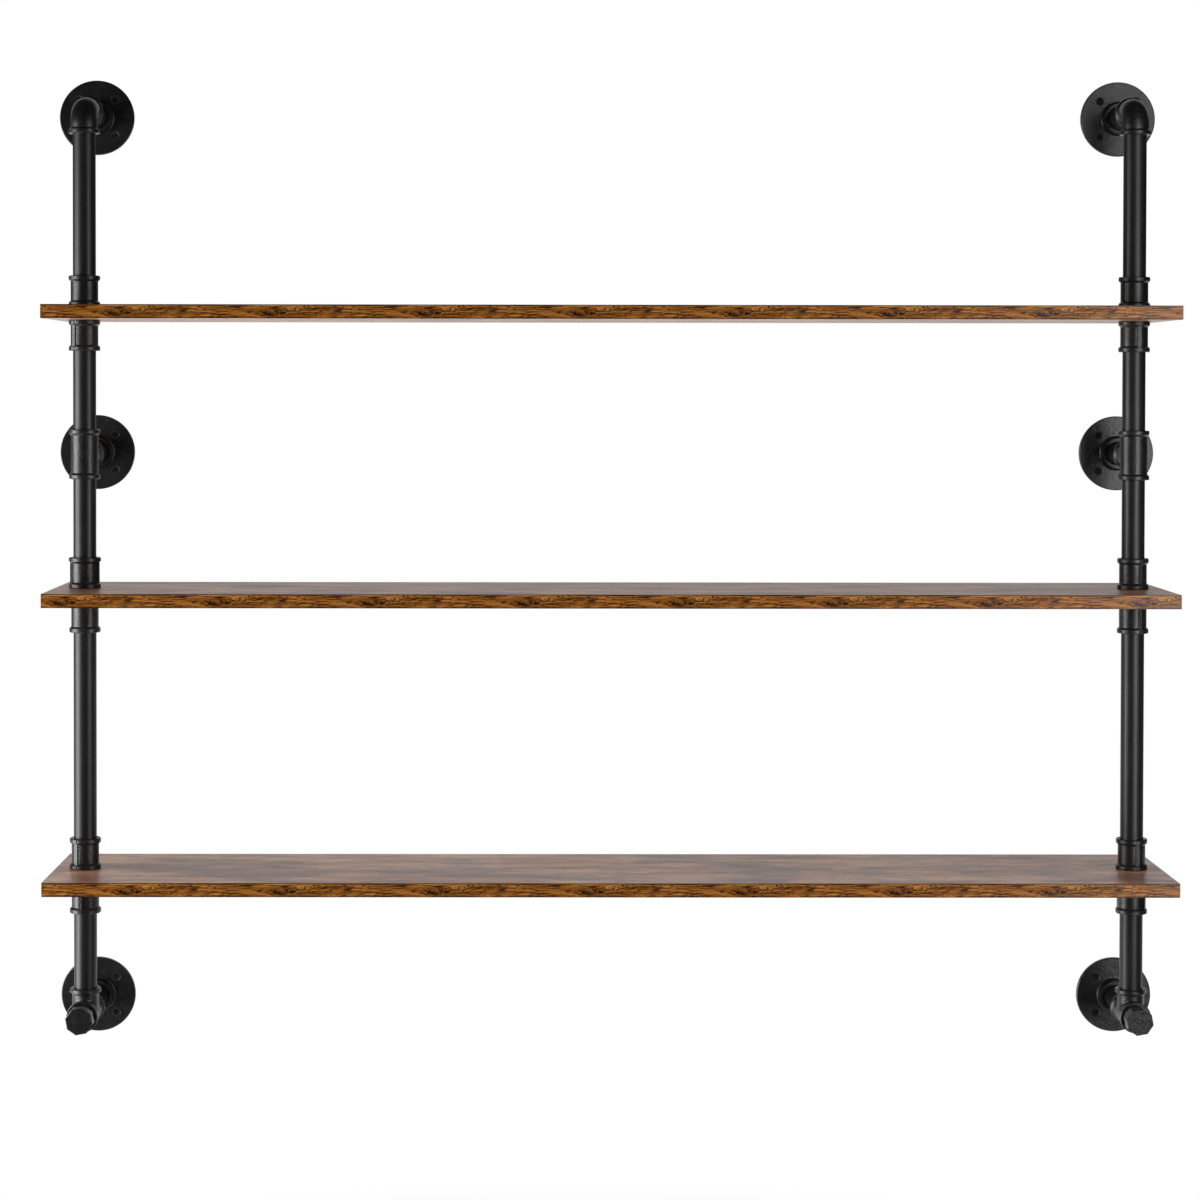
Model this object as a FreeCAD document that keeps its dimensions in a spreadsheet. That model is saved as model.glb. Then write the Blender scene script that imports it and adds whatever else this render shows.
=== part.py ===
import FreeCAD, Part
import os
import re
import Sketcher
from FreeCAD import Placement, Rotation, Vector

# A wall-hung shelving unit: three laminated boards carried by two columns of 3/4 inch pipe and
# cast fittings. A column stands on three arms, each a short pipe between a wall flange and a
# fitting of the riser. Lengths are in millimetres.
# X runs along the boards, Z is up and Y points into the wall. The wall plane is Y = 0, X = 0 is
# midway between the columns, and Z = 0 is midway between the top and the bottom arms.

DIMENSIONS = {
    # shelf boards with a banded edge all round
    "board_length": 1300.0,
    "board_depth": 200.0,
    "board_thickness": 16.0,
    "board_pitch": 330.0,
    "board_wall_gap": 1.5,
    "board_hole_clearance": 0.4,
    "banding_thickness": 1.0,
    "banding_joint": 0.1,
    # columns
    "column_inset": 34.5,
    "arm_above_board": 230.0,
    "arm_below_board": 170.0,
    # pipe and its screwed ends
    "pipe_diameter": 26.7,
    "pipe_wall": 2.9,
    "thread_length": 14.0,
    "thread_clearance": 0.1,
    # cast fittings: a plain body with a thicker band round each mouth
    "body_diameter": 31.9,
    "band_diameter": 36.4,
    "band_width": 4.6,
    "band_slope": 2.3,
    "band_edge": 0.8,
    "mouth_bevel": 1.0,
    "socket_depth": 15.5,
    "waterway_diameter": 21.0,
    "coupling_length": 36.0,
    "rib_width": 4.2,
    "rib_rise": 1.3,
    "lug_rise": 0.6,
    "elbow_reach": 28.0,
    "elbow_bend": 17.0,
    "tee_reach": 29.0,
    "branch_step": 0.4,
    "crotch_fillet": 3.0,
    "seam_width": 1.2,
    "seam_rise": 0.35,
    # plug with an octagon head
    "plug_flats": 30.0,
    "plug_head": 16.0,
    "plug_neck": 7.0,
    "plug_bevel": 0.8,
    "plug_core": 17.0,
    "plug_core_depth": 22.0,
    # wall flanges
    "flange_diameter": 89.5,
    "flange_plate": 5.0,
    "flange_height": 16.0,
    "flange_edge": 1.0,
    "hub_base_diameter": 39.5,
    "hub_top_diameter": 36.0,
    "hub_fillet": 2.0,
    "flange_pipe_gap": 2.0,
    "screw_circle": 61.0,
    "screw_hole": 5.0,
    "countersink": 10.4,
    # countersunk cross-head screws
    "screw_head": 9.4,
    "screw_seat_gap": 0.1,
    "screw_neck": 3.0,
    "screw_thread": 4.0,
    "screw_reach": 36.0,
    "screw_tip": 5.0,
    "recess_span": 5.2,
    "recess_width": 1.3,
    "recess_depth": 1.6,
}

# How far each coupling happens to be screwed round: degrees from the front to its rib, positive
# to the right, for the coupling above and the one below each board.
RIB_TURNS = {
    ("left", "top"): (1.5, -39.0),
    ("left", "middle"): (85.0, 11.0),
    ("left", "bottom"): (-32.0, -13.0),
    ("right", "top"): (-21.0, 10.0),
    ("right", "middle"): (20.0, 19.0),
    ("right", "bottom"): (13.0, 55.0),
}
PLUG_TURN = 10.5

doc = FreeCAD.newDocument("pipe_shelving_unit")
sheet = doc.addObject("Spreadsheet::Sheet", "sizes")
for row, (alias, size) in enumerate(DIMENSIONS.items(), start=1):
    sheet.set(f"A{row}", alias)
    sheet.set(f"B{row}", str(size))
    sheet.setAlias(f"B{row}", alias)
doc.recompute()


# ---- formulas and sketches ----

ALIAS = re.compile(r"\b(" + "|".join(DIMENSIONS) + r")\b")


def cells(formula):
    """The formula with each size written as its cell in the sheet."""
    return ALIAS.sub(r"sizes.\1", formula)


def number(formula):
    """What the formula gives with the sizes as they stand."""
    return float(sheet.evalExpression(cells(formula)))


def new_sketch(body, name, plane, height="0"):
    """An empty sketch on one of the body's own planes, or parallel to it at a height."""
    sketch = body.newObject("Sketcher::SketchObject", name)
    support = [f for f in body.Origin.OriginFeatures if f.Role == plane]
    sketch.AttachmentSupport = [(support[0], "")]
    sketch.MapMode = "FlatFace"
    if height != "0":
        sketch.setExpression(".AttachmentOffset.Base.z", cells(height))
    return sketch


def pin(sketch, edge, end, place):
    """Holds one point of a sketch at a place given by two formulas."""
    for kind, across, formula in (("DistanceX", -2, place[0]), ("DistanceY", -1, place[1])):
        if formula == "0":
            sketch.addConstraint(Sketcher.Constraint("PointOnObject", edge, end, across))
        else:
            distance = Sketcher.Constraint(kind, -1, 1, edge, end, number(formula))
            index = sketch.addConstraint(distance)
            sketch.setExpression(f"Constraints[{index}]", cells(formula))


def draw_outline(sketch, corners):
    """Adds a closed outline of straight edges with its corners at the places given."""
    first = sketch.GeometryCount
    places = [Vector(number(x), number(y), 0) for x, y in corners]
    count = len(places)
    for i in range(count):
        sketch.addGeometry(Part.LineSegment(places[i], places[(i + 1) % count]))
    for i in range(count):
        following = first + (i + 1) % count
        sketch.addConstraint(Sketcher.Constraint("Coincident", first + i, 2, following, 1))
    for i in range(count):
        pin(sketch, first + i, 1, corners[i])


def draw_circle(sketch, centre, diameter):
    """Adds a circle of the diameter at the place given."""
    middle = Vector(number(centre[0]), number(centre[1]), 0)
    circle = Part.Circle(middle, Vector(0, 0, 1), number(diameter) / 2)
    edge = sketch.addGeometry(circle)
    index = sketch.addConstraint(Sketcher.Constraint("Diameter", edge, number(diameter)))
    sketch.setExpression(f"Constraints[{index}]", cells(diameter))
    pin(sketch, edge, 3, centre)


def draw_axis(sketch, start, end):
    """Adds a construction line that a feature can turn about."""
    places = [Vector(number(x), number(y), 0) for x, y in (start, end)]
    edge = sketch.addGeometry(Part.LineSegment(*places), True)
    pin(sketch, edge, 1, start)
    pin(sketch, edge, 2, end)


def rectangle(left, right, low, high):
    """The corners of an upright rectangle."""
    return [(left, low), (right, low), (right, high), (left, high)]


# ---- features ----


def new_body(label, place, rotation=Rotation()):
    """A body under its own label, at a place given by three formulas."""
    body = doc.addObject("PartDesign::Body", label)
    body.Label = label
    body.Placement = Placement(Vector(), rotation)
    for axis, formula in zip("xyz", place):
        body.setExpression(f".Placement.Base.{axis}", cells(formula))
    return body


def turn(body, sketch, axis, kind="Revolution", angle=360, reverse=False):
    """Turns a sketch about one of its axes, as metal or, with Groove, as a cut."""
    feature = body.newObject("PartDesign::" + kind, sketch.Name + "_" + kind.lower())
    feature.Profile = sketch
    feature.ReferenceAxis = (sketch, [axis])
    feature.Angle = angle
    feature.Reversed = reverse
    return feature


def pad(body, sketch, length, midplane=False, kind="Pad"):
    """Pads a sketch by a length along its normal, or evenly both ways."""
    feature = body.newObject("PartDesign::" + kind, sketch.Name + "_" + kind.lower())
    feature.Profile = sketch
    feature.setExpression("Length", cells(length))
    feature.Midplane = midplane
    return feature


def polar_pattern(body, originals, count):
    """Repeats features evenly round the body's Z axis."""
    pattern = body.newObject("PartDesign::PolarPattern", "pattern")
    pattern.Originals = originals
    axis = [f for f in body.Origin.OriginFeatures if f.Role == "Z_Axis"]
    pattern.Axis = (axis[0], [""])
    pattern.Angle = 360
    pattern.Occurrences = count
    body.Tip = pattern
    return pattern


def dress(body, size, wanted, kind="Fillet", measure="Radius"):
    """Rounds, or with Chamfer bevels, the edges of the body that the test picks."""
    doc.recompute()
    base = body.Tip
    picked = [f"Edge{i}" for i, edge in enumerate(base.Shape.Edges, start=1) if wanted(edge)]
    feature = body.newObject("PartDesign::" + kind, kind.lower())
    feature.Base = (base, picked)
    feature.setExpression(measure, cells(size))
    return feature


def is_ring(edge, diameter, height):
    """Whether the edge is the full circle of that diameter at that height on the Z axis."""
    if not isinstance(edge.Curve, Part.Circle):
        return False
    same_size = abs(edge.Curve.Radius - number(diameter) / 2) < 1e-4
    return same_size and abs(edge.Curve.Center.z - number(height)) < 1e-4


# ---- places shared by the pieces ----

SIDES = {
    "left": "-(board_length / 2 - column_inset)",
    "right": "board_length / 2 - column_inset",
}
PIPE_Y = "-(board_wall_gap + board_depth / 2)"
TOP_ARM = "(arm_above_board + 2 * board_pitch + arm_below_board) / 2"
BOARD_TOPS = {
    "top": f"{TOP_ARM} - arm_above_board",
    "middle": f"{TOP_ARM} - arm_above_board - board_pitch",
    "bottom": f"{TOP_ARM} - arm_above_board - 2 * board_pitch",
}
MIDDLE_ARM = f"{BOARD_TOPS['top']} - (board_thickness + board_pitch) / 2"
ARM_HEIGHTS = {"top": TOP_ARM, "middle": MIDDLE_ARM, "bottom": f"-({TOP_ARM})"}
BORE = "pipe_diameter + 2 * thread_clearance"
# turns a piece made along Z so that its top faces the room and its Y side faces up
FACING_ROOM = Rotation(Vector(1, 0, 0), 90)


# ---- boards and their edge banding ----


def make_board(label, height):
    """A board with a hole near each end for the nipple that carries it."""
    body = new_body(label, ("0", PIPE_Y, height))
    outline = new_sketch(body, "board_outline", "XY_Plane")
    half_length = "(board_length / 2 - banding_thickness)"
    half_depth = "(board_depth / 2 - banding_thickness)"
    corners = rectangle(f"-{half_length}", half_length, f"-{half_depth}", half_depth)
    draw_outline(outline, corners)
    pad(body, outline, "board_thickness").Reversed = True
    holes = new_sketch(body, "pipe_holes", "XY_Plane")
    for side in SIDES.values():
        draw_circle(holes, (side, "0"), "pipe_diameter + 2 * board_hole_clearance")
    pad(body, holes, "board_thickness", kind="Pocket")
    return body


def make_banding(label, height):
    """Four strips glued round the edges of a board, the long ones covering the ends."""
    body = new_body(label, ("0", PIPE_Y, height))
    body.AllowCompound = True
    strips = new_sketch(body, "strips", "XY_Plane")
    end, face = "board_length / 2", "board_depth / 2"
    inner_end = f"({end} - banding_thickness)"
    inner_face = f"({face} - banding_thickness)"
    reach = f"({inner_face} - banding_joint)"
    draw_outline(strips, rectangle(f"-{end}", end, f"-{face}", f"-{inner_face}"))
    draw_outline(strips, rectangle(f"-{end}", end, inner_face, face))
    draw_outline(strips, rectangle(f"-{end}", f"-{inner_end}", f"-{reach}", reach))
    draw_outline(strips, rectangle(inner_end, end, f"-{reach}", reach))
    pad(body, strips, "board_thickness").Reversed = True
    return body


# ---- pipe ----


def make_pipe(label, place, length, rotation=Rotation()):
    """A length of pipe standing on its place, both ends screwed into fittings."""
    body = new_body(label, place, rotation)
    ring = new_sketch(body, "ring", "XY_Plane")
    draw_circle(ring, ("0", "0"), "pipe_diameter")
    draw_circle(ring, ("0", "0"), "pipe_diameter - 2 * pipe_wall")
    pad(body, ring, length)
    return body


# ---- cast fittings ----


def banded_leg(reach, root, diameter="body_diameter"):
    """Half outline of a leg of a fitting: (distance along the leg, radius) from root to mouth."""
    body, band = f"({diameter}) / 2", "band_diameter / 2"
    return [
        (root, "0"),
        (root, body),
        (f"{reach} - band_width - band_slope", body),
        (f"{reach} - band_width", band),
        (f"{reach} - band_edge", band),
        (reach, f"{band} - band_edge"),
        (reach, "0"),
    ]


def socket(reach):
    """Half outline of a threaded socket: its shoulder, its wall and the bevel at its mouth."""
    bore = f"({BORE}) / 2"
    return [
        (f"{reach} - socket_depth", "0"),
        (f"{reach} - socket_depth", bore),
        (f"{reach} - mouth_bevel", bore),
        (reach, f"{bore} + mouth_bevel"),
        (reach, "0"),
    ]


def waterway(reach):
    """Half outline of a socket and of the waterway from it to the middle of the fitting."""
    way = "waterway_diameter / 2"
    return [("0", "0"), ("0", way), (f"{reach} - socket_depth", way)] + socket(reach)[1:]


def upright(outline, sign=""):
    """The half outline of a leg laid along the sketch's vertical axis, upwards or downwards."""
    return [(radius, f"{sign}({along})" if along != "0" else "0") for along, radius in outline]


def both_ways(outline):
    """The half outline of a leg, without its two root points, joined to its mirror image below."""
    above = upright(outline[2:])
    below = upright(outline[2:], "-")
    return below[::-1] + above


def make_coupling(label, place, rib_turn):
    """A straight coupling: a threaded sleeve with a band round each end and two ribs along it."""
    body = new_body(label, place, Rotation(Vector(0, 0, 1), rib_turn))
    half = "coupling_length / 2"
    sleeve = new_sketch(body, "sleeve", "XZ_Plane")
    draw_outline(sleeve, both_ways(banded_leg(half, "0")))
    turn(body, sleeve, "V_Axis")

    # a rib runs from end to end and steps up to a low lug where it crosses each band
    ribs = new_sketch(body, "ribs", "YZ_Plane")
    rib_top, lug_top = "(body_diameter / 2 + rib_rise)", "(band_diameter / 2 + lug_rise)"
    step, rib_end = f"({half} - band_width)", f"({half} - band_edge)"
    above = [(rib_top, step), (lug_top, step), (lug_top, rib_end)]
    above += [(f"-{out}", up) for out, up in above[::-1]]
    below = [(out, f"-{up}") for out, up in above]
    draw_outline(ribs, above + below[::-1])
    pad(body, ribs, "rib_width", midplane=True)

    thread = new_sketch(body, "thread", "XZ_Plane")
    bore = f"({BORE}) / 2"
    mouth = [(bore, f"{half} - mouth_bevel"), (f"{bore} + mouth_bevel", half), ("0", half)]
    lower = [(radius, f"-({along})") for radius, along in mouth]
    draw_outline(thread, lower[::-1] + mouth)
    turn(body, thread, "V_Axis", "Groove")
    return body


def make_elbow(label, place):
    """A 90 degree elbow with one leg down and the other towards the wall."""
    body = new_body(label, place)
    down = new_sketch(body, "down_leg", "XZ_Plane")
    draw_outline(down, upright(banded_leg("elbow_reach", "elbow_bend"), "-"))
    turn(body, down, "V_Axis")
    back = new_sketch(body, "wall_leg", "YZ_Plane")
    draw_outline(back, banded_leg("elbow_reach", "elbow_bend"))
    turn(body, back, "H_Axis")
    bend = new_sketch(body, "bend", "XY_Plane", "-elbow_bend")
    draw_circle(bend, ("0", "0"), "body_diameter")
    bend_axis = (("-elbow_bend", "elbow_bend"), ("elbow_bend", "elbow_bend"))
    draw_axis(bend, *bend_axis)
    turn(body, bend, "Axis0", angle=90, reverse=True)

    # the mould's parting seam runs round the outside in the plane of both legs
    leg_seam = new_sketch(body, "leg_seam", "YZ_Plane")
    rim = "(body_diameter / 2 + seam_rise)"
    plain_end = "(elbow_reach - band_width - band_slope / 2)"
    draw_outline(leg_seam, rectangle(f"-{rim}", rim, f"-{plain_end}", "-elbow_bend"))
    draw_outline(leg_seam, rectangle("elbow_bend", plain_end, f"-{rim}", rim))
    pad(body, leg_seam, "seam_width", midplane=True)
    bend_seam = new_sketch(body, "bend_seam", "XY_Plane", "-elbow_bend")
    draw_outline(bend_seam, rectangle("-seam_width / 2", "seam_width / 2", f"-{rim}", rim))
    draw_axis(bend_seam, *bend_axis)
    turn(body, bend_seam, "Axis0", angle=90, reverse=True)

    down_cut = new_sketch(body, "down_socket", "XZ_Plane")
    draw_outline(down_cut, upright(socket("elbow_reach"), "-"))
    turn(body, down_cut, "V_Axis", "Groove")
    back_cut = new_sketch(body, "wall_socket", "YZ_Plane")
    draw_outline(back_cut, socket("elbow_reach"))
    turn(body, back_cut, "H_Axis", "Groove")
    bend_cut = new_sketch(body, "bend_waterway", "XY_Plane", "-elbow_bend")
    draw_circle(bend_cut, ("0", "0"), "waterway_diameter")
    draw_axis(bend_cut, *bend_axis)
    turn(body, bend_cut, "Axis0", "Groove", angle=90, reverse=True)
    return body


def make_tee(label, place, rotation=Rotation()):
    """A tee with its run along Z and its branch along Y."""
    body = new_body(label, place, rotation)
    branch_body = "body_diameter - 2 * branch_step"
    run = new_sketch(body, "run", "XZ_Plane")
    draw_outline(run, both_ways(banded_leg("tee_reach", "0")))
    turn(body, run, "V_Axis")
    branch = new_sketch(body, "branch", "YZ_Plane")
    draw_outline(branch, banded_leg("tee_reach", "0", branch_body))
    turn(body, branch, "H_Axis")

    # the two barrels meet in one saddle-shaped edge, which the casting rounds
    run_radius = number("body_diameter / 2")

    def on_saddle(edge):
        if isinstance(edge.Curve, (Part.Circle, Part.Line)):
            return False
        middle = edge.CenterOfMass
        return 0 < middle.y < run_radius + 1e-3 and abs(middle.z) < run_radius

    dress(body, "crotch_fillet", on_saddle)

    seam = new_sketch(body, "seam", "YZ_Plane")
    rim = "(body_diameter / 2 + seam_rise)"
    side = f"(({branch_body}) / 2 + seam_rise)"
    ledge = "((2 - sqrt(2)) * (crotch_fillet - seam_rise))"
    plain_end = "(tee_reach - band_width - band_slope / 2)"
    above = [
        (plain_end, side),
        (f"{rim} + {ledge}", side),
        (rim, f"{side} + {ledge}"),
        (rim, plain_end),
        (f"-{rim}", plain_end),
    ]
    below = [(across, f"-({up})") for across, up in above]
    draw_outline(seam, below[::-1] + above)
    pad(body, seam, "seam_width", midplane=True)

    run_cut = new_sketch(body, "run_sockets", "XZ_Plane")
    draw_outline(run_cut, both_ways(waterway("tee_reach")))
    turn(body, run_cut, "V_Axis", "Groove")
    branch_cut = new_sketch(body, "branch_socket", "YZ_Plane")
    draw_outline(branch_cut, waterway("tee_reach"))
    turn(body, branch_cut, "H_Axis", "Groove")
    return body


def make_plug(label, place):
    """A cored plug: an octagon head in front of a shank screwed into the tee."""
    body = new_body(label, place, FACING_ROOM * Rotation(Vector(0, 0, 1), PLUG_TURN))
    head = new_sketch(body, "head", "XY_Plane", "plug_neck")
    far = "plug_flats / 2"
    near = "plug_flats / 2 * (sqrt(2) - 1)"
    quarter = [(far, near), (near, far)]
    corners = list(quarter)
    corners += [(f"-{x}", y) for x, y in quarter[::-1]]
    corners += [(f"-{x}", f"-{y}") for x, y in quarter]
    corners += [(x, f"-{y}") for x, y in quarter[::-1]]
    draw_outline(head, corners)
    pad(body, head, "plug_head")
    face = number("plug_neck + plug_head")
    dress(body, "plug_bevel", lambda e: abs(e.CenterOfMass.z - face) < 1e-6, "Chamfer", "Size")
    shank = new_sketch(body, "shank", "XZ_Plane")
    draw_outline(shank, rectangle("0", "pipe_diameter / 2", "-thread_length", "plug_neck"))
    turn(body, shank, "V_Axis")
    core = new_sketch(body, "core", "XY_Plane", "-thread_length")
    draw_circle(core, ("0", "0"), "plug_core")
    pad(body, core, "plug_core_depth", kind="Pocket").Reversed = True
    return body


# ---- wall flanges and their screws ----


def make_flange(label, place):
    """A round cast plate with a drafted, threaded hub and four countersunk holes."""
    body = new_body(label, place, FACING_ROOM)
    profile = new_sketch(body, "profile", "XZ_Plane")
    bore = f"({BORE}) / 2"
    draw_outline(profile, [
        (bore, "0"),
        ("flange_diameter / 2", "0"),
        ("flange_diameter / 2", "flange_plate - flange_edge"),
        ("flange_diameter / 2 - flange_edge", "flange_plate"),
        ("hub_base_diameter / 2", "flange_plate"),
        ("hub_top_diameter / 2", "flange_height"),
        (f"{bore} + mouth_bevel", "flange_height"),
        (bore, "flange_height - mouth_bevel"),
    ])
    turn(body, profile, "V_Axis")
    dress(body, "hub_fillet", lambda e: is_ring(e, "hub_base_diameter", "flange_plate"))
    hole = new_sketch(body, "screw_hole", "XZ_Plane")
    centre = "screw_circle / 2"
    hole_side, sink_side = "screw_hole / 2", "countersink / 2"
    draw_outline(hole, [
        (centre, "0"),
        (f"{centre} + {hole_side}", "0"),
        (f"{centre} + {hole_side}", f"flange_plate - ({sink_side} - {hole_side})"),
        (f"{centre} + {sink_side}", "flange_plate"),
        (centre, "flange_plate"),
    ])
    draw_axis(hole, (centre, "0"), (centre, "flange_plate"))
    cut = turn(body, hole, "Axis0", "Groove")
    polar_pattern(body, [cut], 4)
    body.Placement = body.Placement * Placement(Vector(), Rotation(Vector(0, 0, 1), 45))
    return body


def make_screws(label, place):
    """The four screws of a flange, their threads standing in the wall behind it."""
    body = new_body(label, place, FACING_ROOM * Rotation(Vector(0, 0, 1), 45))
    body.AllowCompound = True
    centre = "screw_circle / 2"
    top = "(flange_plate - (countersink - screw_head) / 2 + screw_seat_gap)"
    neck_start = f"{top} - (screw_head - screw_neck) / 2"
    profile = new_sketch(body, "profile", "XZ_Plane")
    draw_outline(profile, [
        (centre, "-screw_reach"),
        (f"{centre} + screw_thread / 2", "-(screw_reach - screw_tip)"),
        (f"{centre} + screw_thread / 2", "0"),
        (f"{centre} + screw_neck / 2", "0"),
        (f"{centre} + screw_neck / 2", neck_start),
        (f"{centre} + screw_head / 2", top),
        (centre, top),
    ])
    draw_axis(profile, (centre, "0"), (centre, "flange_plate"))
    screw = turn(body, profile, "Axis0")
    recess = new_sketch(body, "recess", "XY_Plane", f"{top} - recess_depth")
    arm, half = "recess_span / 2", "recess_width / 2"
    quarter = [(arm, half), (half, half), (half, arm)]
    cross = list(quarter)
    cross += [(f"-{x}", y) for x, y in quarter[::-1]]
    cross += [(f"-{x}", f"-{y}") for x, y in quarter]
    cross += [(x, f"-{y}") for x, y in quarter[::-1]]
    draw_outline(recess, [(f"{centre} + {x}".replace("+ -", "- "), y) for x, y in cross])
    slot = pad(body, recess, "recess_depth", kind="Pocket")
    slot.Reversed = True
    polar_pattern(body, [screw, slot], 4)
    return body


# ---- assembly ----

pieces = []
for level, height in BOARD_TOPS.items():
    pieces.append(make_board(f"shelf_board_{level}", height))
    pieces.append(make_banding(f"edge_banding_{level}", height))

FITTING_REACH = {"top": "elbow_reach", "middle": "tee_reach", "bottom": "tee_reach"}
for side, x in SIDES.items():
    for level, height in ARM_HEIGHTS.items():
        reach = FITTING_REACH[level]
        pieces.append(make_flange(f"wall_flange_{level}_{side}", (x, "0", height)))
        pieces.append(make_screws(f"flange_screws_{level}_{side}", (x, "0", height)))
        arm_length = f"-({PIPE_Y}) - {reach} + thread_length - flange_pipe_gap"
        arm_start = (x, "-flange_pipe_gap", height)
        pieces.append(make_pipe(f"arm_nipple_{level}_{side}", arm_start, arm_length, FACING_ROOM))

    pieces.append(make_elbow(f"elbow_{side}", (x, PIPE_Y, ARM_HEIGHTS["top"])))
    pieces.append(make_tee(f"middle_tee_{side}", (x, PIPE_Y, ARM_HEIGHTS["middle"])))
    bottom = (x, PIPE_Y, ARM_HEIGHTS["bottom"])
    pieces.append(make_tee(f"bottom_tee_{side}", bottom, FACING_ROOM))
    plug_place = (x, f"{PIPE_Y} - tee_reach", ARM_HEIGHTS["bottom"])
    pieces.append(make_plug(f"plug_{side}", plug_place))

    for level, height in BOARD_TOPS.items():
        above = f"{height} + coupling_length / 2"
        below = f"{height} - board_thickness - coupling_length / 2"
        turns = RIB_TURNS[side, level]
        upper = f"coupling_above_{level}_{side}"
        lower = f"coupling_below_{level}_{side}"
        pieces.append(make_coupling(upper, (x, PIPE_Y, above), turns[0]))
        pieces.append(make_coupling(lower, (x, PIPE_Y, below), turns[1]))
        nipple_place = (x, PIPE_Y, f"{height} - board_thickness - thread_length")
        nipple_length = "board_thickness + 2 * thread_length"
        pieces.append(make_pipe(f"shelf_nipple_{level}_{side}", nipple_place, nipple_length))

    # the riser pipes, each between the mouths of two fittings
    board_mouth = {level: f"{height} + coupling_length" for level, height in BOARD_TOPS.items()}
    below_mouth = {level: f"{height} - board_thickness - coupling_length"
                   for level, height in BOARD_TOPS.items()}
    spans = {
        "a": (board_mouth["top"], f"{ARM_HEIGHTS['top']} - elbow_reach"),
        "b": (f"{ARM_HEIGHTS['middle']} + tee_reach", below_mouth["top"]),
        "c": (board_mouth["middle"], f"{ARM_HEIGHTS['middle']} - tee_reach"),
        "d": (board_mouth["bottom"], below_mouth["middle"]),
        "e": (f"{ARM_HEIGHTS['bottom']} + tee_reach", below_mouth["bottom"]),
    }
    for letter, (low, high) in spans.items():
        foot = (x, PIPE_Y, f"{low} - thread_length")
        length = f"({high}) - ({low}) + 2 * thread_length"
        pieces.append(make_pipe(f"riser_pipe_{letter}_{side}", foot, length))

doc.recompute()

# ---- checks and files ----

for item in doc.Objects:
    if "Invalid" in item.State or "Error" in item.State:
        raise RuntimeError(f"{item.Label} did not compute: {item.State}")
for piece in pieces:
    if piece.Shape.isNull() or not piece.Shape.isValid():
        raise RuntimeError(f"{piece.Label} has no valid shape")

os.makedirs("parts", exist_ok=True)
for piece in pieces:
    piece.Shape.exportStep(f"parts/{piece.Label}.step")
    print(piece.Label, len(piece.Shape.Solids), round(piece.Shape.Volume, 1))
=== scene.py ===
import math

import bmesh
import bpy
from mathutils import Matrix, Vector


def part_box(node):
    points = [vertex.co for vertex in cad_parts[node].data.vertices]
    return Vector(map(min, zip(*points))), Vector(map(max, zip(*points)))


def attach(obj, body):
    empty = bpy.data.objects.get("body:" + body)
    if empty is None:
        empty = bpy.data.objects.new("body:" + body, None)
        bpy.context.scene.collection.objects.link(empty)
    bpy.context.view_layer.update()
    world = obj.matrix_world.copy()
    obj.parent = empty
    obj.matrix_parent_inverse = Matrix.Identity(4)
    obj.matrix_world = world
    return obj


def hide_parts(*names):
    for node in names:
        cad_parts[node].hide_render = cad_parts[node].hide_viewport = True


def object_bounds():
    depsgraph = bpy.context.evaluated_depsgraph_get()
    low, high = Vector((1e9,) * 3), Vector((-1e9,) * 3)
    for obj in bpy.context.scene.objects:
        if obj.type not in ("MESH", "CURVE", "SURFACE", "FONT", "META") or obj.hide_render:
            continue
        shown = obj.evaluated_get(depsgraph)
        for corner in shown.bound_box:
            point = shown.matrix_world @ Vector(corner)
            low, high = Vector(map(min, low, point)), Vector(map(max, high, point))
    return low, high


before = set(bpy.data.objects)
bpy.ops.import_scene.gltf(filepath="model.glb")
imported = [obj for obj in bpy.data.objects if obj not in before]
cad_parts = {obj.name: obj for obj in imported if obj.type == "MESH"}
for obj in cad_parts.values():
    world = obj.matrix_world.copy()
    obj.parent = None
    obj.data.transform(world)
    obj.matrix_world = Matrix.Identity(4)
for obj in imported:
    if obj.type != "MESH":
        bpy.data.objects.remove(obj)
cad_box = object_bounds()

# ---- Studio ----
# A white studio with no wall, so that the back of the unit shows too. A tall softbox stands on
# each side and the room in front is dark, which gives black pipe its two soft streaks. The pale
# floor lies well below, because the unit hangs on a wall.


def linear(colour):
    """The linear RGBA of an sRGB hex colour."""
    parts = [int(colour[i:i + 2], 16) / 255 for i in (1, 3, 5)]
    return [c / 12.92 if c <= 0.04045 else ((c + 0.055) / 1.055) ** 2.4 for c in parts] + [1.0]


def add(tree, kind, settings=None, inputs=None, stops=None):
    """Adds a shader node with its settings, its inputs as values or links, and a ramp's stops."""
    node = tree.nodes.new("ShaderNode" + kind)
    for name, value in (settings or {}).items():
        setattr(node, name, value)
    for name, value in (inputs or {}).items():
        if isinstance(value, bpy.types.NodeSocket):
            tree.links.new(value, node.inputs[name])
        elif isinstance(value, str):
            node.inputs[name].default_value = linear(value)
        else:
            node.inputs[name].default_value = value
    if stops:
        for place, colour in stops:
            node.color_ramp.elements.new(place).color = linear(colour)
        # the two stops that a new ramp starts with stand outside these
        node.color_ramp.elements.remove(node.color_ramp.elements[0])
        node.color_ramp.elements.remove(node.color_ramp.elements[-1])
    return node


bpy.context.scene.view_settings.view_transform = "Standard"

# what the diffuse light of the room adds everywhere, and what gloss sees of its dark side
FILL_LEVEL = 0.32
ROOM_GLOW = 0.025
# a reflected ray meets the white wall behind once it points this much that way, 1 being straight
WALL_FROM = 0.65
# the heights of a reflected ray, level being 0 and upright 1, that the wall's shade is set out on
SHADE_LOW = -0.1
SHADE_HIGH = 0.4

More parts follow.
